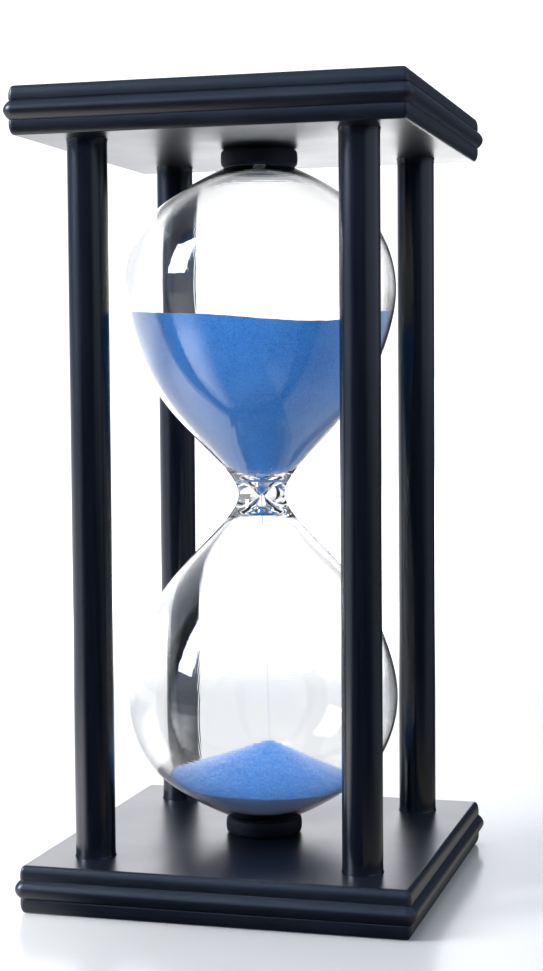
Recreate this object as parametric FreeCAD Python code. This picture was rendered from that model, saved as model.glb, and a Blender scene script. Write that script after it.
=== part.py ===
"""Four-post hourglass: a blown glass timer held between two moulded wooden plates.

Millimetres, +Z up. The origin is the centre of the underside of the base plate, where the
timer stands on a table. The front face looks towards -Y. Every solid is written in its place.
"""
import FreeCAD, Part
import math
import os

from FreeCAD import Vector

os.makedirs("parts", exist_ok=True)

# ---- driving dimensions ----
HEIGHT = 203.2                 # eight inches over both plates
SIDE = 101.6                   # four inches over the beads of a square plate
PLATE_T = 12.0                 # thickness of each plate

HALF_SIDE = SIDE / 2
MID_Z = HEIGHT / 2             # the waist of the glass
UP = Vector(0, 0, 1)

# Moulded edge of a plate: two rounded bands with a bead between them.
BEAD_H = 4.8                   # height of the bead at its root
BEAD_PROUD = 1.4               # how far the bead stands past the bands
QUIRK = 0.15                   # the little step between a band and the bead
ROUND_IN = 1.3                 # width of the round-over on each band
ROUND_DOWN = 2.6               # height of the round-over on each band
BEAD_CORNER_R = 2.8            # plan radius of the bead's corners
BAND_CORNER_R = 1.2            # plan radius of the bands' corners

# Posts, glued into blind sockets and held by a screw at each end.
POST_D = 10.0
POST_XY = 34.5                 # post centres from the middle, in X and in Y
SOCKET_DEPTH = 3.0
SOCKET_CLEAR = 0.05            # glue gap round a post
POST_CHAMFER = 0.4

# Countersunk wood screws, 3.5 x 22.
SCREW_D = 3.5
SCREW_CORE_D = 2.4
SCREW_L = 22.0
SCREW_HEAD_D = 7.0
SCREW_RIM = 0.3                # straight rim of the head
SCREW_SINK = 0.3               # how far the head lies below the plate's face
SCREW_PLAIN = 9.0              # head and plain shank
THREAD_PITCH = 1.25
TIP_L = 2.2
HOLE_CLEAR = 0.1               # all round the screw, in the plate and in the post
RECESS_SPAN = 3.6              # cross recess, tip to tip
RECESS_SLOT = 0.8
RECESS_DEPTH = 1.7

# Rubber ring at each end of the glass.
RING_D = 20.0
RING_T = 4.7
RING_BULGE = 0.35
RING_HOLE_D = 8.0
SEAT_GAP = 0.02                # keeps the glass and its seat from overlapping

# Glass, the same above and below the waist. Each outline is a cubic B-spline whose control
# polygon is given as (distance from the waist, radius): upright at the waist, level at the end.
GLASS_OUTSIDE = ((0, 6.1), (3.5, 6.1), (12.5, 15), (26, 28), (42, 34), (55, 36.5),
                 (70, 32), (79, 21.5), (87.2, 5), (87.2, 0))
GLASS_INSIDE = ((0, 0.6), (1, 0.6), (2.2, 1.5), (4.5, 3.6), (5, 7), (10, 10.8), (18.2, 19.2),
                (29, 28.2), (42.4, 33), (55, 35.5), (69.4, 31.3), (78.2, 20.8), (85.2, 7), (85.2, 0))
FILL_HOLE_D = 4.0              # filling hole in the top end

# Rubber stopper in the filling hole.
STOPPER_HEAD_D = 7.0
STOPPER_HEAD_T = 1.3

# Sand.
SAND_GAP = 0.08                # air between the grains and the glass
UPPER_LEVEL = 149.0            # where the upper sand meets the glass
CRATER_R = 15.0                # funnel left in the upper sand as it runs out
CRATER_DEPTH = 6.5
SLUMP_AT = (20.2, -24.1)       # where the upper sand has slipped, by the front right of the glass
SLUMP_DEPTH = 3.3
SLUMP_SPHERE_R = 96.0
PILE_TOP = 36.1                # tip of the lower pile
PILE_SLOPE = 0.46              # rise over run
PILE_AT = (1.5, 0.4)           # where the stream lands
STREAM_D = 0.7


def post_places():
    """Plan positions of the four posts, each with the name of its corner."""
    for y_name, y_sign in (("front", -1), ("rear", 1)):
        for x_name, x_sign in (("left", -1), ("right", 1)):
            yield y_name + "_" + x_name, Vector(x_sign * POST_XY, y_sign * POST_XY, 0)


def save(name, shape):
    shape.exportStep("parts/" + name + ".step")
    print("%-18s solids %d  volume %.1f  valid %s"
          % (name, len(shape.Solids), shape.Volume, shape.isValid()))


def revolved(wire):
    """Solid from a closed wire in the XZ plane turned about Z."""
    return Part.Face(wire).revolve(Vector(0, 0, 0), UP, 360)


def polyline_edges(points):
    return [Part.LineSegment(a, b).toShape() for a, b in zip(points, points[1:])]


# ---- plates ----
def edge_profile():
    """Edges of one moulded side, from the lower face to the upper, in the (outward, up) plane."""
    half_t = PLATE_T / 2
    band = HALF_SIDE - BEAD_PROUD
    flat = band - ROUND_IN
    root = band - QUIRK
    bead_z = BEAD_H / 2
    shoulder_z = half_t - ROUND_DOWN
    band_z = bead_z + QUIRK
    diagonal = math.sqrt(0.5)

    def at(outward, up):
        return Vector(outward, 0, up)

    def band_edges(sign):
        """The round-over, the band and the quirk above (+1) or below (-1) the bead."""
        middle = at(flat + ROUND_IN * diagonal, sign * (shoulder_z + ROUND_DOWN * diagonal))
        over = Part.Arc(at(flat, sign * half_t), middle, at(band, sign * shoulder_z)).toShape()
        rest = polyline_edges([at(band, sign * shoulder_z), at(band, sign * band_z),
                               at(root, sign * bead_z)])
        return [over] + rest

    bead = Part.Arc(at(root, -bead_z), at(HALF_SIDE, 0), at(root, bead_z)).toShape()
    return band_edges(-1) + [bead] + band_edges(1), flat


def moulded_bar():
    """A bar along Y with the moulding on both long sides, centred on the origin."""
    edges, flat = edge_profile()
    mirrored = [edge.mirror(Vector(0, 0, 0), Vector(1, 0, 0)) for edge in edges]
    half_t = PLATE_T / 2
    faces = [Part.LineSegment(Vector(-flat, 0, z), Vector(flat, 0, z)).toShape()
             for z in (-half_t, half_t)]
    outline = Part.Wire(Part.__sortEdges__(edges + mirrored + faces))
    outline.translate(Vector(0, -SIDE, 0))
    return Part.Face(outline).extrude(Vector(0, 2 * SIDE, 0))


def rounded_prism(half, corner_r, z_low, z_high):
    box = Part.makeBox(2 * half, 2 * half, z_high - z_low, Vector(-half, -half, z_low))
    uprights = [e for e in box.Edges if abs(e.tangentAt(e.FirstParameter).z) > 0.9]
    return box.makeFillet(corner_r, uprights)


def plate_blank():
    """A plate with mitred mouldings and eased corners, centred on the origin."""
    bar = moulded_bar()
    crossed = bar.common(bar.rotated(Vector(0, 0, 0), UP, 90))
    half_t = PLATE_T / 2
    bead_z = BEAD_H / 2
    band = HALF_SIDE - BEAD_PROUD
    corners = rounded_prism(HALF_SIDE, BEAD_CORNER_R, -bead_z, bead_z)
    for low, high in ((-half_t, -bead_z), (bead_z, half_t)):
        corners = corners.fuse(rounded_prism(band, BAND_CORNER_R, low, high))
    return crossed.common(corners).removeSplitter().Solids[0]


def screw_bore():
    """Space for a screw driven upwards from z = 0: countersink, clearance and pilot hole."""
    head_r = SCREW_HEAD_D / 2 + HOLE_CLEAR
    shank_r = SCREW_D / 2 + HOLE_CLEAR
    rim_top = SCREW_SINK + SCREW_RIM
    cone_top = rim_top + head_r - shank_r
    end = SCREW_SINK + SCREW_L + HOLE_CLEAR
    points = [(0, 0), (head_r, 0), (head_r, rim_top), (shank_r, cone_top), (shank_r, end), (0, end)]
    corners = [Vector(r, 0, z) for r, z in points + points[:1]]
    return revolved(Part.makePolygon(corners))


def make_base_plate():
    """Lower plate: moulded edge, four sockets on top and four countersunk holes underneath."""
    plate = plate_blank().translated(Vector(0, 0, PLATE_T / 2))
    socket_z = PLATE_T - SOCKET_DEPTH
    for _, place in post_places():
        socket = Part.makeCylinder(POST_D / 2 + SOCKET_CLEAR, SOCKET_DEPTH, place + UP * socket_z)
        plate = plate.cut(socket).cut(screw_bore().translated(place))
    return plate


def upside_down(shape):
    """The same shape at the other end of the timer."""
    return shape.rotated(Vector(0, 0, MID_Z), Vector(1, 0, 0), 180)


# ---- posts and screws ----
def make_post(place):
    """Round post from socket to socket, with a pilot hole in each end."""
    low = PLATE_T - SOCKET_DEPTH
    length = HEIGHT - 2 * low
    post = Part.makeCylinder(POST_D / 2, length, Vector(0, 0, low))
    rims = [e for e in post.Edges if e.Closed]
    post = post.makeChamfer(POST_CHAMFER, rims)
    bore = screw_bore()
    return post.cut(bore).cut(upside_down(bore)).translated(place)


def screw_profile():
    """Half outline of a wood screw pointing up, its head's face at z = 0."""
    core_r = SCREW_CORE_D / 2
    shank_r = SCREW_D / 2
    head_r = SCREW_HEAD_D / 2
    points = [(0, 0), (head_r, 0), (head_r, SCREW_RIM), (shank_r, SCREW_RIM + head_r - shank_r),
              (shank_r, SCREW_PLAIN)]
    z = SCREW_PLAIN
    while z + THREAD_PITCH < SCREW_L - TIP_L:
        points += [(core_r, z + 0.3 * THREAD_PITCH), (core_r, z + 0.7 * THREAD_PITCH),
                   (shank_r, z + THREAD_PITCH)]
        z += THREAD_PITCH
    points += [(core_r, SCREW_L - TIP_L), (0, SCREW_L)]
    return [Vector(r, 0, z) for r, z in points + points[:1]]


def make_screw():
    """Countersunk screw pointing up from z = 0, its thread drawn as rings."""
    screw = revolved(Part.makePolygon(screw_profile()))
    tool = Part.makeCone(RECESS_SPAN / 2, RECESS_SLOT / 2, RECESS_DEPTH)
    bar = Part.makeBox(RECESS_SPAN, RECESS_SLOT, RECESS_DEPTH,
                       Vector(-RECESS_SPAN / 2, -RECESS_SLOT / 2, 0))
    cross = bar.fuse(bar.rotated(Vector(0, 0, 0), UP, 90))
    return screw.cut(tool.common(cross))


def make_base_screws():
    """The four screws driven up through the base plate, turned each its own way."""
    screw = make_screw()
    screws = []
    for number, (_, place) in enumerate(post_places()):
        turned = screw.rotated(Vector(0, 0, 0), UP, 23 + 31 * number)
        screws.append(turned.translated(place + UP * SCREW_SINK))
    return Part.makeCompound(screws)


# ---- glass ----
def bulb_solid(polygon):
    """Both bulbs as one solid of revolution, from the control polygon for one bulb."""
    curve = Part.BSplineCurve()
    curve.buildFromPoles([Vector(r, 0, MID_Z + up) for up, r in polygon], False, 3)
    upper = curve.toShape()
    lower = upper.mirror(Vector(0, 0, MID_Z), UP)
    reach = polygon[-1][0]
    axis = Part.LineSegment(Vector(0, 0, MID_Z - reach), Vector(0, 0, MID_Z + reach)).toShape()
    return revolved(Part.Wire(Part.__sortEdges__([upper, lower, axis])))


def offset(polygon, gap):
    """The same outline moved outwards by a gap, or inwards by a negative one."""
    end = polygon[-1][0] + gap
    body = [(up, r + gap) for up, r in polygon[:-2]]
    return body + [(end, polygon[-2][1] + gap), (end, 0)]


def fill_hole():
    top = MID_Z + GLASS_OUTSIDE[-1][0]
    return Part.makeCylinder(FILL_HOLE_D / 2, 6.0, Vector(0, 0, top - 5.0))


def make_glass():
    """Two bulbs blown in one piece, with a filling hole in the top end."""
    return bulb_solid(GLASS_OUTSIDE).cut(bulb_solid(GLASS_INSIDE)).cut(fill_hole())


def make_stopper():
    """Plug through the filling hole with a flat head over it."""
    top = MID_Z + GLASS_OUTSIDE[-1][0]
    inner_top = MID_Z + GLASS_INSIDE[-1][0]
    under = 0.6                # the head reaches down round the dome
    poke = 0.3                 # the plug reaches into the bulb
    head = Part.makeCylinder(STOPPER_HEAD_D / 2, STOPPER_HEAD_T + under, UP * (top - under))
    plug_l = top + STOPPER_HEAD_T - inner_top + poke
    plug = Part.makeCylinder(FILL_HOLE_D / 2, plug_l, UP * (inner_top - poke))
    glass = bulb_solid(offset(GLASS_OUTSIDE, SEAT_GAP))
    return head.cut(glass).fuse(plug).removeSplitter().Solids[0]


# ---- rubber rings ----
def make_lower_ring():
    """Thick rubber ring, a little barrelled, dished to the end of the glass."""
    outer_r = RING_D / 2
    edge_r = outer_r - RING_BULGE
    ease = 0.5
    low = PLATE_T
    high = PLATE_T + RING_T

    def at(r, z):
        return Vector(r, 0, z)

    side = Part.Arc(at(edge_r, low + ease), at(outer_r, (low + high) / 2),
                    at(edge_r, high - ease)).toShape()
    rest = polyline_edges([at(edge_r, high - ease), at(edge_r - ease, high), at(0, high), at(0, low),
                           at(edge_r - ease, low), at(edge_r, low + ease)])
    ring = revolved(Part.Wire(Part.__sortEdges__([side] + rest)))
    hole = Part.makeCylinder(RING_HOLE_D / 2, RING_T, Vector(0, 0, low))
    return ring.cut(hole).cut(bulb_solid(offset(GLASS_OUTSIDE, SEAT_GAP)))


# ---- sand ----
def cavity():
    """The space inside the glass, less the gap round the grains."""
    return bulb_solid(offset(GLASS_INSIDE, -SAND_GAP))


def make_upper_sand():
    """Sand still to run: a funnel in its top and a slip at the front right."""
    block = Part.makeCylinder(HALF_SIDE, UPPER_LEVEL - MID_Z, Vector(0, 0, MID_Z))
    crater = Part.makeCone(0, CRATER_R, CRATER_DEPTH, Vector(0, 0, UPPER_LEVEL - CRATER_DEPTH))
    slump_z = UPPER_LEVEL - SLUMP_DEPTH + SLUMP_SPHERE_R
    slump = Part.makeSphere(SLUMP_SPHERE_R, Vector(SLUMP_AT[0], SLUMP_AT[1], slump_z))
    return cavity().common(block).cut(crater).cut(slump)


def pile_cone():
    """Everything under the slope of the lower pile."""
    drop = 30.0
    place = Vector(PILE_AT[0], PILE_AT[1], PILE_TOP - drop)
    return Part.makeCone(drop / PILE_SLOPE, 0, drop, place)


def make_lower_sand():
    """Sand that has run: a cone under the stream, filling the end of the bulb."""
    return cavity().common(pile_cone())


def make_falling_sand():
    """Thin stream from just under the waist to the tip of the pile."""
    start = UP * (MID_Z - SAND_GAP)
    run = Vector(PILE_AT[0], PILE_AT[1], PILE_TOP) - start
    stream = Part.makeCylinder(STREAM_D / 2, run.Length, start, run)
    return stream.cut(pile_cone())


def build():
    base_plate = make_base_plate()
    base_screws = make_base_screws()
    lower_ring = make_lower_ring()
    save("base_plate", base_plate)
    save("top_plate", upside_down(base_plate))
    save("base_screws", base_screws)
    save("top_screws", upside_down(base_screws))
    for name, place in post_places():
        save("post_" + name, make_post(place))
    save("lower_ring", lower_ring)
    save("upper_ring", upside_down(lower_ring))
    save("glass_bulbs", make_glass())
    save("filler_stopper", make_stopper())
    save("upper_sand", make_upper_sand())
    save("lower_sand", make_lower_sand())
    save("falling_sand", make_falling_sand())


build()
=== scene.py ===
"""Looks of the four-post hourglass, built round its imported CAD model.

Shapes are worked out in millimetres and written in metres, in the CAD frame: +Z up, the front
towards -Y, the origin under the middle of the base plate.
"""
import math
import random

import bmesh
import bpy
from mathutils import Matrix, Vector, noise


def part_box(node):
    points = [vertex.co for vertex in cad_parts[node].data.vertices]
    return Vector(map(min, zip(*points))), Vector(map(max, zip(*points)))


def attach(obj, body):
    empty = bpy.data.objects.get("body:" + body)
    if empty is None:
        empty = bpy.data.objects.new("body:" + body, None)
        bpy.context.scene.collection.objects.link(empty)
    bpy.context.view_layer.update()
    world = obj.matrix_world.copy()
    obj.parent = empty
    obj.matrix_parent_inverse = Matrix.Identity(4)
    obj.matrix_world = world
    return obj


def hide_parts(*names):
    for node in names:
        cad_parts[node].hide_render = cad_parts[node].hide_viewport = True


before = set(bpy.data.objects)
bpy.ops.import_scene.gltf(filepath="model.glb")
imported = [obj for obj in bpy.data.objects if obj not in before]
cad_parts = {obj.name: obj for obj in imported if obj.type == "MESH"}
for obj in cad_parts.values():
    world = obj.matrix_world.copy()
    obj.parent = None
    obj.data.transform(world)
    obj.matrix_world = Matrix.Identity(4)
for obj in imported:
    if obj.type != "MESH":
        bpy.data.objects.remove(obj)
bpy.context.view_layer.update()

MM = 0.001
random.seed(7)


def box_mm(node):
    """Lowest and highest corner of a CAD node, in millimetres."""
    low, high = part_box(node)
    return low / MM, high / MM


# ---- sizes read from the frame ----
BASE_HIGH = box_mm("base_plate")[1]
HEIGHT = box_mm("top_plate")[1].z
PLATE_T = BASE_HIGH.z
HALF_SIDE = BASE_HIGH.x
MID_Z = HEIGHT / 2
UPPER_LEVEL = box_mm("upper_sand")[1].z
PILE_TOP = box_mm("lower_sand")[1].z
POST_NAMES = ("post_front_left", "post_front_right", "post_rear_left", "post_rear_right")
POST_PLACES = {name: (box_mm(name)[0] + box_mm(name)[1]) / 2 for name in POST_NAMES}
POST_R = (box_mm(POST_NAMES[0])[1].x - box_mm(POST_NAMES[0])[0].x) / 2
POST_END_Z = box_mm(POST_NAMES[0])[0].z
RING_R = box_mm("lower_ring")[1].x

# ---- shape numbers that the CAD source has too ----
BEAD_H = 4.8
BEAD_PROUD = 1.4
QUIRK = 0.15
ROUND_IN = 1.3
ROUND_DOWN = 2.6
BEAD_CORNER_R = 2.8
BAND_CORNER_R = 1.2
SOCKET_CLEAR = 0.05
SOCKET_R = POST_R + SOCKET_CLEAR
BORE_R = 1.85
COUNTERSINK_R = 3.6
COUNTERSINK_RIM = 0.6
SCREW_END_Z = 22.4             # end of the pilot hole
RING_T = 4.7
RING_BULGE = 0.35
RING_HOLE_R = 4.0
SEAT_GAP = 0.02
GLASS_OUTSIDE = ((0, 6.1), (3.5, 6.1), (12.5, 15), (26, 28), (42, 34), (55, 36.5),
                 (70, 32), (79, 21.5), (87.2, 5), (87.2, 0))
GLASS_INSIDE = ((0, 0.6), (1, 0.6), (2.2, 1.5), (4.5, 3.6), (5, 7), (10, 10.8), (18.2, 19.2),
                (29, 28.2), (42.4, 33), (55, 35.5), (69.4, 31.3), (78.2, 20.8), (85.2, 7), (85.2, 0))
FILL_HOLE_R = 2.0
STOPPER_HEAD_R = 3.5
STOPPER_HEAD_T = 1.3
SAND_GAP = 0.08
CRATER_R = 15.0
CRATER_DEPTH = 6.5
PILE_SLOPE = 0.46
PILE_AT = (1.5, 0.4)

# ---- finer shapes that only these pieces have ----
# lacquer gathered at the foot of a post: radius, height over the plate
POST_FLARE = ((4.95, -0.1), (5.14, 0.0), (5.12, 0.15), (5.08, 0.4), (5.04, 0.8), (5.01, 1.3),
              (5.0, 2.0))
VIEW_COS = 0.963               # the turn of someone who looks from the front right
VIEW_SIN = 0.268
FRONT_DROP = 0.52              # the upper sand's front edge below the CAD level
BACK_DROP = 2.9                # how much lower its back is
SIDE_RISE = 0.8                # how far it climbs the glass at the sides
SLIP_AT = 14.0                 # middle of the slip, to the right of the axis
SLIP_REACH_LEFT = 40.0
SLIP_REACH_RIGHT = 20.0
SLIP_DEPTH = 2.35
CREASE = 1.6                   # rounding between the funnel and the rest
RIPPLES = ((0.14, 0.35, 3.1), (0.07, 1.3, 9.7), (0.05, 3.6, 5.3))   # height, waves per mm, seed
TIP_R = 1.1                    # rounding of the pile's tip
TIP_LIFT = 0.4
STEEPER_RIGHT = 0.055          # change of the pile's slope to the right
GENTLER_LEFT = 0.10            # and to the left


# ---- mesh helpers ----
def new_piece(name, verts, faces, material, sharp_deg=38.0):
    """A smooth-shaded mesh object from millimetre points, with edges over an angle kept sharp."""
    mesh = bpy.data.meshes.new(name)
    mesh.from_pydata([Vector(v) * MM for v in verts], [], faces)
    return finish_piece(name, mesh, material, sharp_deg)


def finish_piece(name, mesh, material, sharp_deg=38.0):
    """The object for a mesh, shaded smooth but for its selected faces and its sharp edges."""
    bm = bmesh.new()
    bm.from_mesh(mesh)
    bmesh.ops.recalc_face_normals(bm, faces=bm.faces)
    limit = math.radians(sharp_deg)
    for face in bm.faces:
        face.smooth = not face.select
    for edge in bm.edges:
        edge.smooth = len(edge.link_faces) == 2 and edge.calc_face_angle(0.0) < limit
    bm.to_mesh(mesh)
    bm.free()
    obj = bpy.data.objects.new(name, mesh)
    bpy.context.scene.collection.objects.link(obj)
    obj.data.materials.append(material)
    return obj


def lathe(profile, segments, centre=(0.0, 0.0)):
    """Points and faces of a profile of (radius, z) turned about a vertical line."""
    on_axis = 1e-6
    verts = []
    faces = []
    rows = []
    for radius, z in profile:
        if radius < on_axis:
            rows.append([len(verts)] * segments)
            verts.append((centre[0], centre[1], z))
            continue
        row = []
        for k in range(segments):
            turn = 2 * math.pi * k / segments
            row.append(len(verts))
            verts.append((centre[0] + radius * math.cos(turn),
                          centre[1] + radius * math.sin(turn), z))
        rows.append(row)
    for low, high in zip(rows, rows[1:]):
        for k in range(segments):
            n = (k + 1) % segments
            face = [low[k], low[n], high[n], high[k]]
            unique = list(dict.fromkeys(face))
            if len(unique) > 2:
                faces.append(unique)
    return verts, faces


def clamped_spline(polygon, count):
    """Points along the clamped uniform cubic B-spline of a control polygon."""
    points = [Vector(p) for p in polygon]
    spans = len(points) - 3
    knots = [0.0] * 3 + [float(k) for k in range(spans + 1)] + [float(spans)] * 3
    result = []
    for step in range(count + 1):
        t = spans * step / count
        span = min(int(t), spans - 1) + 3
        d = [points[span - 3 + j] for j in range(4)]
        for r in range(1, 4):
            for j in range(3, r - 1, -1):
                left = knots[span - 3 + j]
                right = knots[span + 1 + j - r]
                share = (t - left) / (right - left)
                d[j] = d[j - 1].lerp(d[j], share)
        result.append(d[3])
    return result


def eased(points, radius, steps=4):
    """A polyline with each inner corner rounded by about a radius."""
    most = 0.45                # share of a side that one corner may take
    result = [Vector(points[0])]
    for before, corner, after in zip(points, points[1:], points[2:]):
        corner = Vector(corner)
        back = Vector(before) - corner
        ahead = Vector(after) - corner
        reach = min(radius, most * back.length, most * ahead.length)
        start = corner + back.normalized() * reach
        end = corner + ahead.normalized() * reach
        for k in range(steps + 1):
            t = k / steps
            result.append(start * (1 - t) ** 2 + corner * 2 * t * (1 - t) + end * t * t)
    result.append(Vector(points[-1]))
    return result


def ride(obj, slot, *nodes):
    """The piece moves with the one body and stands for its CAD nodes."""
    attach(obj, "root")
    if nodes:
        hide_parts(*nodes)
    return obj


# ---- material helpers ----
class Nodes:
    """Short ways to add and join shader nodes."""

    def __init__(self, tree):
        self.tree = tree
        self.tree.nodes.clear()

    def add(self, kind, inputs=None, **settings):
        """A new node; an input is either another node's socket or a value."""
        node = self.tree.nodes.new("ShaderNode" + kind)
        for key, value in settings.items():
            setattr(node, key, value)
        for key, value in (inputs or {}).items():
            if isinstance(value, bpy.types.NodeSocket):
                self.tree.links.new(value, node.inputs[key])
            else:
                node.inputs[key].default_value = value
        return node

    def noise(self, vector, scale, detail, rough):
        """Noise with so many cells in a metre."""
        return self.add("TexNoise", {"Vector": vector, "Scale": scale, "Detail": detail,
                                     "Roughness": rough}).outputs["Fac"]

    def stretched(self, vector, scale):
        """The place scaled on each axis, so that noise is drawn out along the small ones."""
        return self.add("Mapping", {"Vector": vector, "Scale": scale}).outputs["Vector"]

    def remap(self, value, low, high, to_low, to_high, curve="LINEAR"):
        """The value's range from low to high stretched to another one, and held at its ends."""
        return self.add("MapRange", {"Value": value, "From Min": low, "From Max": high,
                                     "To Min": to_low, "To Max": to_high},
                        interpolation_type=curve).outputs["Result"]

    def smooth(self, value, low, high, to_low, to_high):
        return self.remap(value, low, high, to_low, to_high, "SMOOTHSTEP")

    def band(self, value, rise, fall):
        """1 between two soft edges and 0 outside them; an edge is where it starts and ends."""
        return self.times(self.smooth(value, *rise, 0.0, 1.0), self.smooth(value, *fall, 1.0, 0.0))

    def inside_glass(self):
        """1 on a path that scattered off something matt and then met glass, otherwise 0."""
        path = self.add("LightPath").outputs
        scattered = self.math("GREATER_THAN", path["Diffuse Depth"], 0.5)
        return self.math("MULTIPLY", path["Is Transmission Ray"], scattered)

    def math(self, operation, a, b=0.0):
        return self.add("Math", {0: a, 1: b}, operation=operation).outputs[0]

    def times(self, *factors):
        result = factors[0]
        for factor in factors[1:]:
            result = self.math("MULTIPLY", result, factor)
        return result

    def plus(self, *terms):
        result = terms[0]
        for term in terms[1:]:
            result = self.math("ADD", result, term)
        return result

    def mix(self, share, a, b):
        """Colour a at a share of 0 and colour b at 1."""
        node = self.add("Mix", data_type="RGBA")
        for key, value in ((0, share), (6, a), (7, b)):
            if isinstance(value, bpy.types.NodeSocket):
                self.tree.links.new(value, node.inputs[key])
            else:
                node.inputs[key].default_value = value
        return node.outputs[2]

    def bump(self, height, strength, distance, normal=None):
        """Bump of a depth in metres, over another bump if one is given."""
        inputs = {"Height": height, "Strength": strength, "Distance": distance}
        if normal is not None:
            inputs["Normal"] = normal
        return self.add("Bump", inputs).outputs["Normal"]


def new_material(name):
    """A material, its nodes, and where on the object each point is, in metres."""
    material = bpy.data.materials.new(name)
    material.use_nodes = True
    nodes = Nodes(material.node_tree)
    place = nodes.add("TexCoord").outputs["Object"]
    return material, nodes, place


def close_material(nodes, **inputs):
    """Adds the Principled shader and the output; underscores in names stand for spaces."""
    shader = nodes.add("BsdfPrincipled", {k.replace("_", " "): v for k, v in inputs.items()})
    nodes.add("OutputMaterial", {"Surface": shader.outputs["BSDF"]})
    return shader


def rgb(r, g, b):
    return (r, g, b, 1.0)


def grey(level):
    return rgb(level, level, level)


# ---- colours of the object ----
PLATE_DARK = rgb(0.0018, 0.0029, 0.0054)
PLATE_GRAIN = rgb(0.0048, 0.0070, 0.0115)
PLATE_CLOUD = rgb(0.0068, 0.0098, 0.0160)
POST_DARK = rgb(0.0010, 0.0018, 0.0040)
POST_GRAIN = rgb(0.0030, 0.0046, 0.0085)
RUBBER_DARK = rgb(0.0008, 0.0010, 0.0024)
RUBBER_BLOOM = rgb(0.0020, 0.0026, 0.0052)
# painted light: the paler rubber colour that the upper ring turns to, as if lit more than the lower
# one
RUBBER_PAINTED_LIGHT = rgb(0.006, 0.009, 0.017)
STOPPER_DARK = rgb(0.27, 0.27, 0.26)
STOPPER_PALE = rgb(0.37, 0.37, 0.355)
GLASS_TINT = rgb(0.982, 0.986, 0.984)
GLASS_CLEAR = rgb(0.994, 0.996, 0.995)
SAND_DEEP = rgb(0.012, 0.113, 0.40)
SAND_PALE = rgb(0.036, 0.213, 0.62)
SAND_DRIFT = rgb(0.050, 0.235, 0.60)
ZINC_DULL = rgb(0.50, 0.50, 0.475)
ZINC_BRIGHT = rgb(0.62, 0.62, 0.60)
RUBBER_PAINTED_LIGHT_FROM = 0.02       # metres up: where the rubber's colour starts to turn paler, as painted light
RUBBER_PAINTED_LIGHT_TO = 0.18         # and where it has turned


# ---- materials ----
def plate_lacquer():
    """Satin black lacquer over close-grained wood, its grain and the router's lines showing."""
    material, nodes, place = new_material("satin_black_lacquer")
    grain = nodes.noise(nodes.stretched(place, (0.035, 1.0, 1.0)), 2600.0, 5.0, 0.6)
    pores = nodes.noise(nodes.stretched(place, (0.06, 1.0, 1.0)), 5200.0, 2.0, 0.5)
    router = nodes.noise(nodes.stretched(place, (0.01, 0.01, 1.0)), 2400.0, 3.0, 0.6)
    chatter = nodes.noise(nodes.stretched(place, (1.0, 1.0, 0.12)), 1100.0, 2.0, 0.5)
    cloud = nodes.noise(place, 45.0, 3.0, 0.5)
    colour = nodes.mix(nodes.remap(grain, 0.35, 0.7, 0.0, 1.0),
                       PLATE_DARK, PLATE_GRAIN)
    colour = nodes.mix(nodes.remap(cloud, 0.45, 0.75, 0.0, 0.5), colour, PLATE_CLOUD)
    rough = nodes.plus(nodes.remap(grain, 0.3, 0.7, 0.305, 0.335),
                       nodes.remap(cloud, 0.3, 0.7, -0.02, 0.03))
    normal = nodes.bump(pores, 0.05, 0.00004)
    normal = nodes.bump(grain, 0.02, 0.00005, normal)
    normal = nodes.bump(router, 0.12, 0.00005, normal)
    normal = nodes.bump(chatter, 0.10, 0.00005, normal)
    close_material(nodes, Base_Color=colour, Roughness=rough, Normal=normal, IOR=1.5)
    return material


def post_lacquer():
    """Glossier black lacquer on the turned posts, with faint lengthwise grain."""
    material, nodes, place = new_material("gloss_black_lacquer")
    grain = nodes.noise(nodes.stretched(place, (1.0, 1.0, 0.02)), 1500.0, 4.0, 0.55)
    specks = nodes.noise(place, 3200.0, 2.0, 0.5)
    cloud = nodes.noise(nodes.stretched(place, (1.0, 1.0, 0.3)), 120.0, 3.0, 0.5)
    colour = nodes.mix(nodes.remap(grain, 0.35, 0.7, 0.0, 1.0),
                       POST_DARK, POST_GRAIN)
    rough = nodes.plus(nodes.remap(cloud, 0.3, 0.7, 0.175, 0.215),
                       nodes.remap(grain, 0.3, 0.7, -0.02, 0.03))
    normal = nodes.bump(specks, 0.04, 0.00002)
    normal = nodes.bump(grain, 0.035, 0.00004, normal)
    close_material(nodes, Base_Color=colour, Roughness=rough, Normal=normal, IOR=1.5)
    return material


def ring_rubber():
    """Dull black rubber with a moulded skin, a little paler at the upper ring by painted light."""
    material, nodes, place = new_material("black_rubber")
    skin = nodes.noise(place, 2600.0, 4.0, 0.6)
    bloom = nodes.noise(place, 260.0, 3.0, 0.5)
    colour = nodes.mix(nodes.remap(bloom, 0.4, 0.75, 0.0, 1.0),
                       RUBBER_DARK, RUBBER_BLOOM)
    # painted light: the colour turns paler with height, so that the upper ring looks more lit
    height = nodes.add("SeparateXYZ", {"Vector": place}).outputs["Z"]
    turned = nodes.remap(height, RUBBER_PAINTED_LIGHT_FROM, RUBBER_PAINTED_LIGHT_TO, 0.0, 1.0)
    colour = nodes.mix(turned, colour, RUBBER_PAINTED_LIGHT)
    rough = nodes.remap(skin, 0.3, 0.7, 0.52, 0.68)
    normal = nodes.bump(skin, 0.35, 0.00006)
    close_material(nodes, Base_Color=colour, Roughness=rough, Normal=normal, IOR=1.5,
                   Specular_IOR_Level=0.2)
    return material


def stopper_rubber():
    """Grey rubber of the stopper."""
    material, nodes, place = new_material("grey_rubber")
    skin = nodes.noise(place, 2200.0, 4.0, 0.6)
    colour = nodes.mix(nodes.remap(skin, 0.35, 0.7, 0.0, 1.0), STOPPER_DARK, STOPPER_PALE)
    normal = nodes.bump(skin, 0.3, 0.00006)
    close_material(nodes, Base_Color=colour, Roughness=0.7, Normal=normal, IOR=1.5)
    return material


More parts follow.
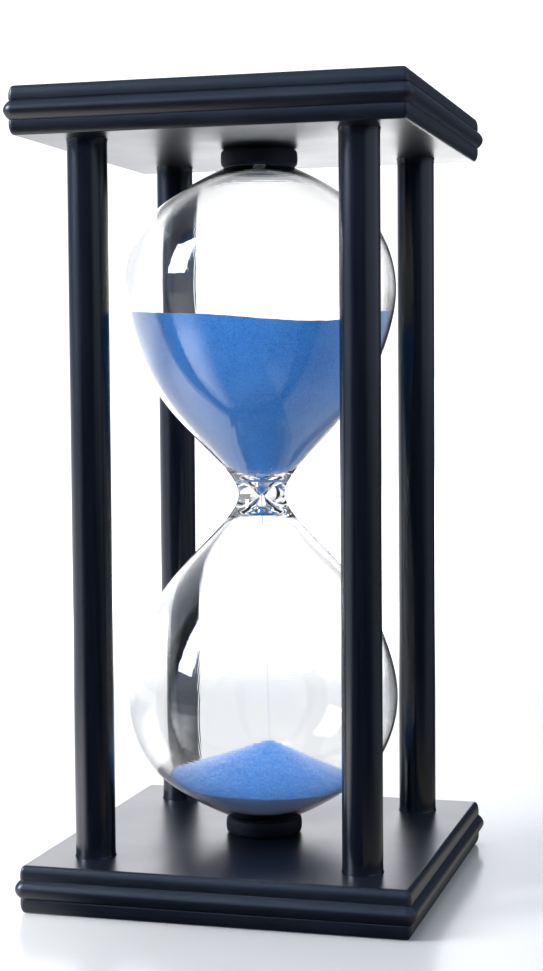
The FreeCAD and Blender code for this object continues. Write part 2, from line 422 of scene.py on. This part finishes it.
def clear_glass():
    """Clear blown glass, its tint a little uneven where the melt was drawn out."""
    material, nodes, place = new_material("clear_blown_glass")
    cords = nodes.noise(nodes.stretched(place, (1.0, 1.0, 0.3)), 60.0, 2.0, 0.5)
    tint = nodes.mix(nodes.remap(cords, 0.35, 0.7, 0.0, 1.0), GLASS_TINT, GLASS_CLEAR)
    close_material(nodes, Base_Color=tint, Roughness=0.0, IOR=1.5, Transmission_Weight=1.0)
    return material


def blue_sand():
    """Fine dyed sand: blue grains of slightly different depths of colour."""
    material, nodes, place = new_material("dyed_blue_sand")
    grains = nodes.add("TexVoronoi", {"Vector": place, "Scale": 5200.0})
    tint = nodes.add("SeparateColor", {"Color": grains.outputs["Color"]}).outputs[0]
    drift = nodes.noise(place, 130.0, 4.0, 0.55)
    colour = nodes.mix(tint, SAND_DEEP, SAND_PALE)
    colour = nodes.mix(nodes.remap(drift, 0.4, 0.75, 0.0, 0.45), colour, SAND_DRIFT)
    normal = nodes.bump(grains.outputs["Distance"], 0.5, 0.00010)
    close_material(nodes, Base_Color=colour, Roughness=0.9, Normal=normal, IOR=1.45,
                   Specular_IOR_Level=0.12, Sheen_Weight=0.75, Sheen_Roughness=0.43)
    return material


def zinc_steel():
    """Zinc-plated screw steel with fine turning marks."""
    material, nodes, place = new_material("zinc_plated_steel")
    turning = nodes.noise(nodes.stretched(place, (1.0, 1.0, 3.0)), 2400.0, 3.0, 0.6)
    dull = nodes.noise(place, 500.0, 3.0, 0.5)
    colour = nodes.mix(nodes.remap(dull, 0.35, 0.7, 0.0, 1.0), ZINC_DULL, ZINC_BRIGHT)
    rough = nodes.remap(dull, 0.3, 0.7, 0.28, 0.42)
    normal = nodes.bump(turning, 0.12, 0.00003)
    close_material(nodes, Base_Color=colour, Roughness=rough, Metallic=1.0, Normal=normal)
    return material


# ---- plates ----
def edge_profile():
    """(outward, up) points of the moulded edge from the lower face to the upper one."""
    half_t = PLATE_T / 2
    band = HALF_SIDE - BEAD_PROUD
    flat = band - ROUND_IN
    root = band - QUIRK
    bead_z = BEAD_H / 2
    shoulder = half_t - ROUND_DOWN
    proud = HALF_SIDE - root
    over = [(flat + ROUND_IN * math.sin(a), shoulder + ROUND_DOWN * math.cos(a))
            for a in (math.radians(10 * k) for k in range(10))]
    upper = over + [(band, bead_z + QUIRK), (root, bead_z)]
    bead = [(root + proud * (1 - (k / 9) ** 2), bead_z * k / 9) for k in range(8, -9, -1)]
    lower = [(d, -z) for d, z in reversed(upper)]
    sharp = upper + bead + lower
    return [tuple(p) for p in eased(sharp, 0.2, 3)][::-1]


def corner_radius(outward, up):
    """Plan radius of the moulding's corners, smaller where the moulding is cut in."""
    if abs(up) < BEAD_H / 2:
        return max(0.5, BEAD_CORNER_R - (HALF_SIDE - outward))
    return max(0.5, BAND_CORNER_R - (HALF_SIDE - BEAD_PROUD - outward))


def square_ring(outward, up):
    """Points round one rounded square of the moulding, with the cutter's slight unevenness."""
    side_steps = 220
    corner_steps = 8
    wander = 0.012             # slow unevenness along a side
    chatter = 0.007            # quicker unevenness
    inset = 0.03               # keeps both inside the CAD moulding
    radius = corner_radius(outward, up)
    inner = outward - radius
    ring = []
    for quarter in range(4):
        turn = Matrix.Rotation(quarter * math.pi / 2, 2)
        for k in range(side_steps):
            t = -inner + 2 * inner * k / side_steps
            uneven = wander * noise.noise(Vector((t * 0.9, quarter * 7.0, up * 0.6)))
            uneven += chatter * noise.noise(Vector((t * 3.5, quarter * 7.0, up * 0.25 + 40)))
            ring.append(turn @ Vector((outward - inset + uneven, t)))
        for k in range(corner_steps):
            angle = math.pi / 2 * k / corner_steps
            ring.append(turn @ Vector((inner + (radius - inset) * math.cos(angle),
                                       inner + (radius - inset) * math.sin(angle))))
    return ring


def tunnel_profile():
    """(radius, z) from the socket's mouth through the bore to the countersink below."""
    mouth = 0.2                # eased edge of the socket
    rim = 0.15                 # eased edge of the countersink
    under = 0.05               # gap under the post's end
    socket_z = POST_END_Z - under
    cone_z = COUNTERSINK_RIM + COUNTERSINK_R - BORE_R
    return [(SOCKET_R + mouth, PLATE_T), (SOCKET_R, PLATE_T - mouth), (SOCKET_R, socket_z),
            (BORE_R, socket_z), (BORE_R, cone_z), (COUNTERSINK_R, COUNTERSINK_RIM),
            (COUNTERSINK_R, rim), (COUNTERSINK_R + rim, 0.0)]


def tunnel_rows(bm, place):
    """Rows of points down one screw tunnel of a plate."""
    steps = 64
    turns = [2 * math.pi * k / steps for k in range(steps)]
    return [[bm.verts.new((place.x + radius * math.cos(turn), place.y + radius * math.sin(turn), z))
             for turn in turns] for radius, z in tunnel_profile()]


def bridge(bm, rows):
    """Four-sided faces between each closed row and the next."""
    for low, high in zip(rows, rows[1:]):
        for k in range(len(low)):
            n = (k + 1) % len(low)
            bm.faces.new((low[k], low[n], high[n], high[k]))


def cap(bm, loops):
    """A flat face with holes, left selected so that it isn't shaded smooth."""
    edges = []
    for loop in loops:
        for k in range(len(loop)):
            pair = (loop[k], loop[(k + 1) % len(loop)])
            edges.append(bm.edges.get(pair) or bm.edges.new(pair))
    filled = bmesh.ops.triangle_fill(bm, edges=edges, use_beauty=True)
    for item in filled["geom"]:
        if isinstance(item, bmesh.types.BMFace):
            item.select = True


def plate_mesh(name):
    """The base plate as one closed skin: moulded edge, two faces and four screw tunnels."""
    bm = bmesh.new()
    rings = []
    for outward, up in edge_profile():
        z = PLATE_T / 2 + up
        rings.append([bm.verts.new((p.x, p.y, z)) for p in square_ring(outward, up)])
    tunnels = [tunnel_rows(bm, place) for place in POST_PLACES.values()]
    for rows in [rings] + tunnels:
        bridge(bm, rows)
    cap(bm, [rings[-1]] + [rows[0] for rows in tunnels])
    cap(bm, [rings[0]] + [rows[-1] for rows in tunnels])
    bmesh.ops.scale(bm, vec=(MM, MM, MM), verts=bm.verts)
    mesh = bpy.data.meshes.new(name)
    bm.to_mesh(mesh)
    bm.free()
    return mesh


def turn_over(obj):
    """Turns a piece's mesh over to the other end of the timer."""
    middle = Vector((0, 0, MID_Z * MM))
    turn = Matrix.Rotation(math.pi, 4, "X")
    obj.data.transform(Matrix.Translation(middle) @ turn @ Matrix.Translation(-middle))
    return obj


def make_plates(material):
    """Base plate, and the same plate turned over for the top."""
    base = finish_piece("moulded_base", plate_mesh("moulded_base"), material)
    ride(base, "lacquered_wood", "base_plate")
    top = turn_over(finish_piece("moulded_top", plate_mesh("moulded_top"), material))
    ride(top, "lacquered_wood", "top_plate")


# ---- posts ----
def post_profile():
    """(radius, z) of a post from the axis at one pilot hole's end to the other's."""
    rise = 0.03                # the post's end above the CAD one
    chamfer = 0.4
    shaft_steps = 40
    lower = [(0, SCREW_END_Z), (BORE_R, SCREW_END_Z), (BORE_R, POST_END_Z + rise),
             (4.55, POST_END_Z + rise), (4.95, POST_END_Z + chamfer)]
    lower += [(radius, PLATE_T + up) for radius, up in POST_FLARE]
    upper = [(radius, HEIGHT - z) for radius, z in reversed(lower)]
    low = lower[-1][1]
    shaft = [(POST_R, low + (HEIGHT - 2 * low) * k / shaft_steps) for k in range(1, shaft_steps)]
    return lower + shaft + upper


def make_posts(material):
    """Four turned posts, each with a pilot hole in both ends."""
    for name, place in POST_PLACES.items():
        verts, faces = lathe(post_profile(), 96, (place.x, place.y))
        post = new_piece(name.replace("post", "turned_post"), verts, faces, material)
        ride(post, "post_lacquer", name)


# ---- glass ----
def outline(polygon, count=220):
    """(radius, z) up one bulb from the waist."""
    return [(p.y, MID_Z + p.x) for p in clamped_spline(polygon, count)]


def both_bulbs(polygon):
    """(radius, z) from the lower end on the axis to the upper end on the axis."""
    upper = outline(polygon)
    lower = [(r, 2 * MID_Z - z) for r, z in reversed(upper)]
    return lower + upper[1:]


def cut_at_hole(points):
    """The outline as far as the wall of the filling hole."""
    kept = [p for p in points if p[1] < MID_Z or p[0] > FILL_HOLE_R]
    z = kept[-1][1]
    return kept + [(FILL_HOLE_R, z + 0.002)]


def make_glass(material):
    """Both bulbs in one skin, outside and inside, open at the filling hole."""
    outside = cut_at_hole(both_bulbs(GLASS_OUTSIDE))
    inside = cut_at_hole(both_bulbs(GLASS_INSIDE))
    verts, faces = lathe(outside + inside[::-1], segments=384)
    glass = new_piece("blown_glass", verts, faces, material, sharp_deg=60.0)
    ride(glass, "clear_glass", "glass_bulbs")


def make_stopper(material):
    """Plug through the filling hole with a flat head, its edges eased."""
    poke = 0.3                 # how far the plug reaches into the bulb
    plug_ease = 0.2
    head_ease = 0.3
    top = MID_Z + GLASS_OUTSIDE[-1][0]
    plug_z = MID_Z + GLASS_INSIDE[-1][0] - poke
    head_z = top + STOPPER_HEAD_T
    plug_r = FILL_HOLE_R - 0.01
    corners = [(0, plug_z), (plug_r - plug_ease, plug_z), (plug_r, plug_z + plug_ease),
               (plug_r, top + 0.05), (STOPPER_HEAD_R - 0.1, top - 0.05),
               (STOPPER_HEAD_R, top + 0.2), (STOPPER_HEAD_R, head_z - head_ease),
               (STOPPER_HEAD_R - head_ease, head_z), (0, head_z)]
    verts, faces = lathe([tuple(p) for p in eased(corners, 0.15, 3)], segments=64)
    ride(new_piece("stopper", verts, faces, material), "stopper_rubber", "filler_stopper")


# ---- rubber rings ----
def ring_profile():
    """Closed (radius, z) outline of the lower ring: hole, foot, barrelled side and dished seat."""
    ease = 0.5
    low = PLATE_T
    high = PLATE_T + RING_T
    edge_r = RING_R - RING_BULGE
    seat = [(r + SEAT_GAP, z - SEAT_GAP) for r, z in both_bulbs(GLASS_OUTSIDE)
            if z < high and r > RING_HOLE_R]
    turns = [math.radians(15 * k) for k in range(-6, 7)]
    side = [(edge_r + RING_BULGE * math.cos(a), (low + high) / 2 + (RING_T / 2 - ease) * math.sin(a))
            for a in turns]
    corners = [(RING_HOLE_R, seat[0][1] - 0.3), (RING_HOLE_R, low + 0.2), (RING_HOLE_R + 0.2, low),
               (edge_r - ease, low)]
    corners += side + [(edge_r - ease, high), (seat[-1][0] + 0.15, high)] + seat[::-1]
    corners.append(corners[0])
    return [tuple(p) for p in eased(corners, 0.2, 3)]


def weld(obj):
    """Joins the points where a closed outline starts and ends."""
    bm = bmesh.new()
    bm.from_mesh(obj.data)
    bmesh.ops.remove_doubles(bm, verts=bm.verts, dist=0.01 * MM)
    bm.to_mesh(obj.data)
    bm.free()


def make_rings(material):
    """The two rubber rings that hold the ends of the glass."""
    verts, faces = lathe(ring_profile(), segments=96)
    for name, node in (("rubber_ring_lower", "lower_ring"), ("rubber_ring_upper", "upper_ring")):
        ring = new_piece(name, verts, faces, material)
        weld(ring)
        if node == "upper_ring":
            turn_over(ring)
        ride(ring, "ring_rubber", node)


# ---- sand ----
def wall_table():
    """(z, radius) pairs up the inside of the upper bulb, less the gap round the grains."""
    return [(z, max(r - SAND_GAP, 0.0)) for r, z in outline(GLASS_INSIDE, 600)]


WALL = wall_table()


def wall_radius(z):
    """Radius of the sand's side at a height, in either bulb."""
    z = max(z, 2 * MID_Z - z)
    if z >= WALL[-1][0]:
        return 0.0
    low, high = 0, len(WALL) - 1
    while high - low > 1:
        middle = (low + high) // 2
        if WALL[middle][0] <= z:
            low = middle
        else:
            high = middle
    share = (z - WALL[low][0]) / max(WALL[high][0] - WALL[low][0], 1e-9)
    return WALL[low][1] + share * (WALL[high][1] - WALL[low][1])


def soft_min(a, b, blend):
    """Smaller of two heights, with the crease between them rounded."""
    h = max(blend - abs(a - b), 0.0) / blend
    return min(a, b) - h * h * blend * 0.25


def ripple(x, y, size):
    """Small unevenness of a sand surface."""
    return size * sum(height * noise.noise(Vector((x * per_mm, y * per_mm, seed)))
                      for height, per_mm, seed in RIPPLES)


def across_view(x, y):
    """How far a point lies to the right of the axis and behind it, for someone in front."""
    return VIEW_COS * x + VIEW_SIN * y, VIEW_COS * y - VIEW_SIN * x


def ease_in(t):
    """Smooth step from 0 at t = 0 to 1 at t = 1."""
    t = min(max(t, 0.0), 1.0)
    return t * t * (3 - 2 * t)


def upper_height(x, y):
    """Height of the upper sand: a funnel in the middle, a slip to its right, the back lower."""
    beside, behind = across_view(x, y)
    level = UPPER_LEVEL - FRONT_DROP
    level -= BACK_DROP * ease_in((behind + 12) / 40)
    level += SIDE_RISE * ease_in((abs(beside) - 22) / 12)
    reach = SLIP_REACH_LEFT if beside < SLIP_AT else SLIP_REACH_RIGHT
    from_slip = min(abs(beside - SLIP_AT) / reach, 1.0)
    slip = SLIP_DEPTH * (0.5 + 0.5 * math.cos(math.pi * from_slip))
    crater = UPPER_LEVEL - CRATER_DEPTH * (1 - math.hypot(x, y) / CRATER_R)
    return soft_min(level - slip, crater, CREASE) + ripple(x, y, 0.8) - SAND_GAP


def pile_height(x, y):
    """Height of the lower pile: a cone with a rounded tip, steeper to the right than the left."""
    away = math.hypot(x - PILE_AT[0], y - PILE_AT[1])
    rounded = math.sqrt(away * away + TIP_R * TIP_R) - TIP_R
    beside, _ = across_view(x - PILE_AT[0], y - PILE_AT[1])
    share = beside / max(away, 1.0)
    slope = PILE_SLOPE + (STEEPER_RIGHT if share > 0 else GENTLER_LEFT) * share
    return PILE_TOP + TIP_LIFT - slope * rounded + ripple(x, y, 0.9) * min(1.0, away / 3.0)


def contact_height(height, low, high, cos_t, sin_t):
    """Where the sand's surface meets the glass in one direction from the axis."""
    halvings = 48
    for _ in range(halvings):
        z = (low + high) / 2
        radius = wall_radius(z)
        if height(radius * cos_t, radius * sin_t) > z:
            low = z
        else:
            high = z
    return (low + high) / 2


def sand_column(height, bottom_z, rim_z, cos_t, sin_t):
    """Points from the sand's bottom up the glass to its rim, then in towards the axis."""
    up_wall = 70
    across = 90
    column = []
    for j in range(1, up_wall + 1):
        t = j / up_wall
        risen = 1 - (1 - t) ** 1.5 if bottom_z > MID_Z else t ** 2
        z = bottom_z + (rim_z - bottom_z) * risen
        radius = wall_radius(z)
        column.append((radius * cos_t, radius * sin_t, z))
    rim_r = wall_radius(rim_z)
    for j in range(across - 1, 0, -1):
        radius = rim_r * j / across
        x, y = radius * cos_t, radius * sin_t
        column.append((x, y, height(x, y)))
    return column


def sand_body(name, height, bottom_z, search, material, node):
    """Sand lying in a bulb: a free surface above and the glass's own shape below."""
    around = 240
    columns = []
    for k in range(around):
        turn = 2 * math.pi * k / around
        cos_t, sin_t = math.cos(turn), math.sin(turn)
        rim_z = contact_height(height, search[0], search[1], cos_t, sin_t)
        columns.append(sand_column(height, bottom_z, rim_z, cos_t, sin_t))
    rows = len(columns[0])
    verts = [p for column in columns for p in column]
    bottom = len(verts)
    verts.append((0, 0, bottom_z))
    top = len(verts)
    verts.append((0, 0, height(0, 0)))
    faces = []
    for k in range(around):
        n = (k + 1) % around
        faces.append((bottom, n * rows, k * rows))
        faces.append((top, k * rows + rows - 1, n * rows + rows - 1))
        for j in range(rows - 1):
            faces.append((k * rows + j, n * rows + j, n * rows + j + 1, k * rows + j + 1))
    ride(new_piece(name, verts, faces, material, sharp_deg=70.0), "blue_sand", node)


def make_stream(material):
    """Falling grains, close together at the waist and further apart as they speed up."""
    count = 420
    speeding = 1.7             # power by which the grains draw apart
    smallest, largest = 0.055, 0.105
    start = Vector((0, 0, MID_Z - 0.3))
    end = Vector((PILE_AT[0], PILE_AT[1], PILE_TOP))
    ball = bmesh.new()
    bmesh.ops.create_icosphere(ball, subdivisions=1, radius=1.0)
    ball_verts = [v.co.copy() for v in ball.verts]
    ball_faces = [tuple(v.index for v in f.verts) for f in ball.faces]
    ball.free()
    verts = []
    faces = []
    for k in range(count):
        fall = ((k + random.random()) / count) ** speeding
        centre = start.lerp(end, fall)
        spread = 0.08 + 0.16 * fall
        turn = random.uniform(0, 2 * math.pi)
        out = spread * math.sqrt(random.random())
        centre += Vector((out * math.cos(turn), out * math.sin(turn), 0))
        size = random.uniform(smallest, largest)
        first = len(verts)
        verts += [centre + v * size * random.uniform(0.85, 1.15) for v in ball_verts]
        faces += [tuple(first + i for i in f) for f in ball_faces]
    grains = new_piece("falling_grains", verts, faces, material, sharp_deg=80.0)
    ride(grains, "blue_sand", "falling_sand")


# ---- stage ----
# Places are in metres. Azimuths are in degrees from the back, positive to the right.
FLOOR_COLOUR = rgb(0.425, 0.402, 0.362)
FLOOR_GLOW_NEAR = 0.06
FLOOR_REACH = 60.0
FLOOR_GLOSS_DIM = rgb(0.030, 0.042, 0.070)
FLOOR_GLOSS_SIDE = rgb(0.26, 0.30, 0.36)
FLOOR_GLOSS_BESIDE = rgb(0.45, 0.43, 0.40)
# painted shade: a pale grey laid over the floor where it is seen through glass
FLOOR_SHADE_IN_GLASS = rgb(0.78, 0.78, 0.79)
FLOOR_SHADE_IN_GLASS_SHARE = 0.4
FLOOR_BOUNCE = grey(1.5)
POOL_AT = (-0.17, -0.12, 0.0)
KEY_CORNERS = ((-0.919, -0.326, 0.222), (-0.741, -0.626, 0.244),
               (-0.534, -0.464, 0.707), (-0.749, -0.251, 0.613))
KEY_DISTANCE = 2.2
KEY_STRENGTH = 27.0
KEY_COLOUR = rgb(0.88, 0.96, 1.12)
FILL_PLACE = (-0.3, -0.2, 1.5)
FILL_SIZE = 1.6
FILL_POWER = 22.0
BACKDROP_WHITE = grey(1.35)
SHEET_LOW = rgb(1.20, 1.20, 1.26)
SHEET_HIGH = rgb(3.5, 3.55, 3.75)
FRONT_LOW = rgb(0.055, 0.085, 0.16)
FRONT_HIGH = rgb(0.60, 0.87, 1.36)
KEY_ROOM_LOW = rgb(0.55, 0.72, 1.05)
KEY_ROOM_HIGH = rgb(0.8, 1.0, 1.4)
SIDE_LEFT = rgb(0.35, 0.45, 0.65)
SIDE_RIGHT = rgb(0.60, 0.70, 0.90)
ROOM_SHADE = rgb(0.055, 0.07, 0.105)
ROOM_OVERHEAD = rgb(0.40, 0.54, 0.82)
BACKDROP_DIRECTION = (-0.268, 0.962, -0.057)
KEY_DIRECTION = (-0.80, -0.42, 0.43)
SAND_LIGHT_LEVEL = grey(4.7)
SAND_LIGHT_KEY = grey(6.3)
SAND_LIGHT_ABOVE = grey(2.9)
CAMERA_PLACE_MM = (136.8, -485.6, 132.7)
CAMERA_TURNED = 15.44
CAMERA_DOWN_TILT = 3.28
CAMERA_ROLL = 0.43
CAMERA_LENS = 71.4
CAMERA_SENSOR = 36.0
BOUNCES = 24
GLOSSY_BOUNCES = 8


def edge_deg(start, end):
    """Start and end of a soft edge, from degrees to radians."""
    return math.radians(start), math.radians(end)


def floor_glow(nodes, x, y, flat, away, glossy):
    """How strongly the floor shines by itself, so that it runs into the white backdrop."""
    far_glow = nodes.smooth(x, -0.42, -0.18, 0.75, 3.0)
    beyond = nodes.times(nodes.smooth(away, 0.30, 0.60, 0.0, 1.0),
                         nodes.smooth(y, -0.25, 0.0, 0.0, 1.0))
    # painted light: the near floor glows more to the left of the timer, on the key's side
    to_left = nodes.times(nodes.smooth(x, -0.09, 0.0, 0.30, 0.0),
                          nodes.smooth(y, -0.05, 0.10, 1.0, 0.0),
                          nodes.smooth(away, 0.25, 0.45, 1.0, 0.0))
    # in gloss there is also a pool of light at the front left, under the softbox
    from_pool = nodes.add("VectorMath", {0: flat, 1: POOL_AT}, operation="DISTANCE")
    pool = nodes.smooth(from_pool.outputs["Value"], 0.05, 0.20, 1.3, 0.0)
    return nodes.plus(FLOOR_GLOW_NEAR, to_left, nodes.times(beyond, far_glow),
                      nodes.times(glossy, pool))


def floor_in_gloss(nodes, x, y, away):
    """Where the studio lights the floor, and the painted shade, paler in places, that stands for the
    floor in gloss where it doesn't.
    """
    azimuth = nodes.math("ARCTAN2", x, y)
    lit = nodes.times(nodes.band(azimuth, edge_deg(-152, -130), edge_deg(0, 8)),
                      nodes.smooth(x, 0.048, 0.053, 1.0, 0.0))
    side = nodes.times(nodes.band(azimuth, edge_deg(35, 70), edge_deg(95, 120)),
                       nodes.smooth(x, 0.08, 0.2, 0.0, 1.0))
    beside = nodes.times(nodes.smooth(x, 0.048, 0.060, 0.0, 1.0),
                         nodes.smooth(away, 0.08, 0.22, 1.0, 0.0))
    # painted shade in gloss, paler towards the right side and just to the right of the base
    dim = nodes.mix(side, FLOOR_GLOSS_DIM, FLOOR_GLOSS_SIDE)
    return lit, nodes.mix(beside, dim, FLOOR_GLOSS_BESIDE)


def floor_material():
    """Pale floor, with painted light and shade of its own in gloss, through glass and to the sand
    inside the glass.
    """
    material, nodes, place = new_material("studio_floor")
    flat = nodes.stretched(place, (1.0, 1.0, 0.0))
    away = nodes.add("VectorMath", {0: flat}, operation="LENGTH").outputs["Value"]
    x, y, _ = nodes.add("SeparateXYZ", {"Vector": place}).outputs
    path = nodes.add("LightPath").outputs
    glossy = path["Is Glossy Ray"]

    def over(share, under, colour):
        """A share of a plain glow laid over what is there."""
        glow = nodes.add("Emission", {"Color": colour}).outputs[0]
        return nodes.add("MixShader", {0: share, 1: under, 2: glow}).outputs[0]

    shader = nodes.add("BsdfPrincipled", {"Base Color": FLOOR_COLOUR, "Roughness": 0.20,
                                          "Specular IOR Level": 0.08,
                                          "Emission Color": grey(1.0),
                                          "Emission Strength": floor_glow(nodes, x, y, flat, away,
                                                                          glossy)})
    lit, dim = floor_in_gloss(nodes, x, y, away)
    seen = over(nodes.times(glossy, nodes.math("SUBTRACT", 1.0, lit)), shader.outputs[0], dim)
    # painted shade: seen through glass, the floor is partly covered by a fixed pale grey
    seen = over(nodes.times(path["Is Transmission Ray"], FLOOR_SHADE_IN_GLASS_SHARE), seen, FLOOR_SHADE_IN_GLASS)
    seen = over(nodes.inside_glass(), seen, FLOOR_BOUNCE)
    # from below the floor is clear, so that the underside of the timer can be seen
    clear = nodes.add("BsdfTransparent").outputs[0]
    below = nodes.add("NewGeometry").outputs["Backfacing"]
    both = nodes.add("MixShader", {0: below, 1: seen, 2: clear})
    nodes.add("OutputMaterial", {"Surface": both.outputs[0]})
    return material


def stage_mesh(name, points, material):
    """One face of the stage."""
    mesh = bpy.data.meshes.new(name)
    mesh.from_pydata(points, [], [tuple(range(len(points)))])
    mesh.materials.append(material)
    obj = bpy.data.objects.new(name, mesh)
    bpy.context.scene.collection.objects.link(obj)
    return obj


def make_floor():
    """The floor, just under the timer so that the two faces don't fight."""
    r = FLOOR_REACH
    corners = [(-r, -r, 0), (r, -r, 0), (r, r, 0), (-r, r, 0)]
    floor = stage_mesh("studio_floor", corners, floor_material())
    floor.location.z = -0.1 * MM


def make_softbox(name, corners, distance, strength):
    """A glowing panel, given by the directions of its corners as seen from the glass."""
    material = bpy.data.materials.new(name)
    material.use_nodes = True
    nodes = Nodes(material.node_tree)
    power = nodes.remap(nodes.inside_glass(), 0.0, 1.0, strength, 0.0)
    light = nodes.add("Emission", {"Color": KEY_COLOUR, "Strength": power})
    nodes.add("OutputMaterial", {"Surface": light.outputs[0]})
    centre = Vector((0, 0, MID_Z * MM))
    points = [centre + Vector(corner).normalized() * distance for corner in corners]
    panel = stage_mesh(name, points, material)
    panel.visible_camera = False


def make_fill(name, place, size, power):
    """Broad soft light that only matt surfaces answer to."""
    light = bpy.data.lights.new(name, "AREA")
    light.shape = "DISK"
    light.size = size
    light.energy = power
    lamp = bpy.data.objects.new(name, light)
    lamp.location = place
    aim = Vector((0, 0, 0.1)) - Vector(place)
    lamp.rotation_mode = "QUATERNION"
    lamp.rotation_quaternion = aim.to_track_quat("-Z", "Y")
    lamp.visible_glossy = False
    lamp.visible_camera = False
    lamp.visible_transmission = False
    bpy.context.scene.collection.objects.link(lamp)


def gloss_room(nodes, x, y, z):
    """What gloss and matt surfaces see: a bright backdrop behind and a dim studio in front."""
    azimuth = nodes.math("ARCTAN2", x, y)
    height = nodes.math("ARCSINE", z)
    backdrop = nodes.times(nodes.band(azimuth, edge_deg(-60, -36), edge_deg(-9, -3)),
                           nodes.smooth(height, *edge_deg(26, 46), 1.0, 0.0))
    strip = nodes.times(nodes.smooth(height, *edge_deg(10, 13), 0.0, 1.0),
                        nodes.smooth(azimuth, *edge_deg(-42, -29), 0.0, 1.0))
    sheet = nodes.mix(strip, SHEET_LOW, SHEET_HIGH)
    high = nodes.smooth(height, *edge_deg(5, 17), 0.0, 1.0)
    front = nodes.smooth(y, -0.80, -0.55, 1.0, 0.0)
    spill = nodes.band(azimuth, edge_deg(-152, -132), edge_deg(-105, -85))
    shade = nodes.band(azimuth, edge_deg(-6, 0), edge_deg(30, 60))
    overhead = nodes.smooth(height, *edge_deg(25, 60), 0.0, 1.0)
    room = nodes.mix(nodes.smooth(x, 0.0, 0.6, 0.0, 1.0), SIDE_LEFT, SIDE_RIGHT)
    room = nodes.mix(front, room, nodes.mix(high, FRONT_LOW, FRONT_HIGH))
    room = nodes.mix(spill, room, nodes.mix(high, KEY_ROOM_LOW, KEY_ROOM_HIGH))
    room = nodes.mix(shade, room, ROOM_SHADE)
    room = nodes.mix(overhead, room, ROOM_OVERHEAD)
    return nodes.mix(backdrop, room, sheet)


def seen_through_glass(nodes, direction, x):
    """White behind the timer and grey elsewhere, a little darker to the right."""
    ahead = nodes.add("VectorMath", {0: direction, 1: BACKDROP_DIRECTION},
                      operation="DOT_PRODUCT").outputs["Value"]
    open_side = nodes.smooth(x, -0.3, 0.3, 0.45, 0.36)
    return nodes.mix(nodes.smooth(ahead, 0.1, 0.6, 0.0, 1.0), open_side, BACKDROP_WHITE)


def light_on_sand(nodes, direction, z):
    """What lights the sand inside the glass: strongest from the key side, weaker from above."""
    to_key = nodes.add("VectorMath", {0: direction, 1: KEY_DIRECTION},
                       operation="DOT_PRODUCT").outputs["Value"]
    level = nodes.mix(nodes.smooth(to_key, 0.0, 1.0, 0.0, 1.0), SAND_LIGHT_LEVEL, SAND_LIGHT_KEY)
    return nodes.mix(nodes.smooth(z, 0.0, 0.55, 0.0, 1.0), level, SAND_LIGHT_ABOVE)


def make_world():
    """White backdrop to the camera, with other surroundings for gloss, glass and sand."""
    world = bpy.data.worlds.new("studio")
    world.use_nodes = True
    nodes = Nodes(world.node_tree)
    direction = nodes.add("TexCoord").outputs["Generated"]
    x, y, z = nodes.add("SeparateXYZ", {"Vector": direction}).outputs
    path = nodes.add("LightPath").outputs
    colour = nodes.mix(path["Is Transmission Ray"], gloss_room(nodes, x, y, z),
                       seen_through_glass(nodes, direction, x))
    colour = nodes.mix(nodes.inside_glass(), colour, light_on_sand(nodes, direction, z))
    colour = nodes.mix(path["Is Camera Ray"], colour, BACKDROP_WHITE)
    background = nodes.add("Background", {"Color": colour, "Strength": 1.0})
    nodes.add("OutputWorld", {"Surface": background.outputs[0]})
    bpy.context.scene.world = world


def make_camera():
    """Camera at the height of the upper bulb, to the right of the front."""
    turned = math.radians(CAMERA_TURNED)
    down_tilt = math.radians(CAMERA_DOWN_TILT)
    roll = math.radians(CAMERA_ROLL)
    ahead = Vector((-math.sin(turned) * math.cos(down_tilt), math.cos(turned) * math.cos(down_tilt),
                    -math.sin(down_tilt)))
    right = Vector((math.cos(turned), math.sin(turned), 0))
    down = ahead.cross(right)
    rolled_right = math.cos(roll) * right + math.sin(roll) * down
    rolled_up = math.sin(roll) * right - math.cos(roll) * down
    camera = bpy.data.objects.new("camera", bpy.data.cameras.new("camera"))
    camera.matrix_world = Matrix.Translation(Vector(CAMERA_PLACE_MM) * MM) @ Matrix(
        (rolled_right, rolled_up, -ahead)).transposed().to_4x4()
    camera.data.sensor_width = CAMERA_SENSOR
    camera.data.lens = CAMERA_LENS
    camera.data.clip_start = 0.01
    camera.data.clip_end = 200.0
    bpy.context.scene.collection.objects.link(camera)
    bpy.context.scene.camera = camera


def make_sand(material):
    """The sand above, the sand below and the stream between them."""
    sand_body("sand_upper", upper_height, bottom_z=MID_Z + 0.05,
              search=(MID_Z + 20, UPPER_LEVEL + 2), material=material, node="upper_sand")
    sand_body("sand_lower", pile_height, bottom_z=2 * MID_Z - WALL[-1][0] + SAND_GAP,
              search=(17.5, 45.0), material=material, node="lower_sand")
    make_stream(material)


def finish_screws(material):
    """The CAD screws keep their shape and get their steel."""
    for node in ("base_screws", "top_screws"):
        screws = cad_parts[node]
        for slot in screws.material_slots:
            slot.material = material


def build_timer():
    """Every piece of the timer."""
    make_plates(plate_lacquer())
    make_posts(post_lacquer())
    make_glass(clear_glass())
    make_stopper(stopper_rubber())
    make_rings(ring_rubber())
    make_sand(blue_sand())
    finish_screws(zinc_steel())


def build_stage():
    """Floor, lights, surroundings and camera."""
    make_floor()
    make_softbox("key_softbox", KEY_CORNERS, KEY_DISTANCE, KEY_STRENGTH)
    make_fill("overhead_fill", FILL_PLACE, FILL_SIZE, FILL_POWER)
    make_world()
    make_camera()


build_timer()
build_stage()
scene = bpy.context.scene
scene.view_settings.view_transform = "Standard"
scene.cycles.max_bounces = BOUNCES
scene.cycles.transmission_bounces = BOUNCES
scene.cycles.glossy_bounces = GLOSSY_BOUNCES
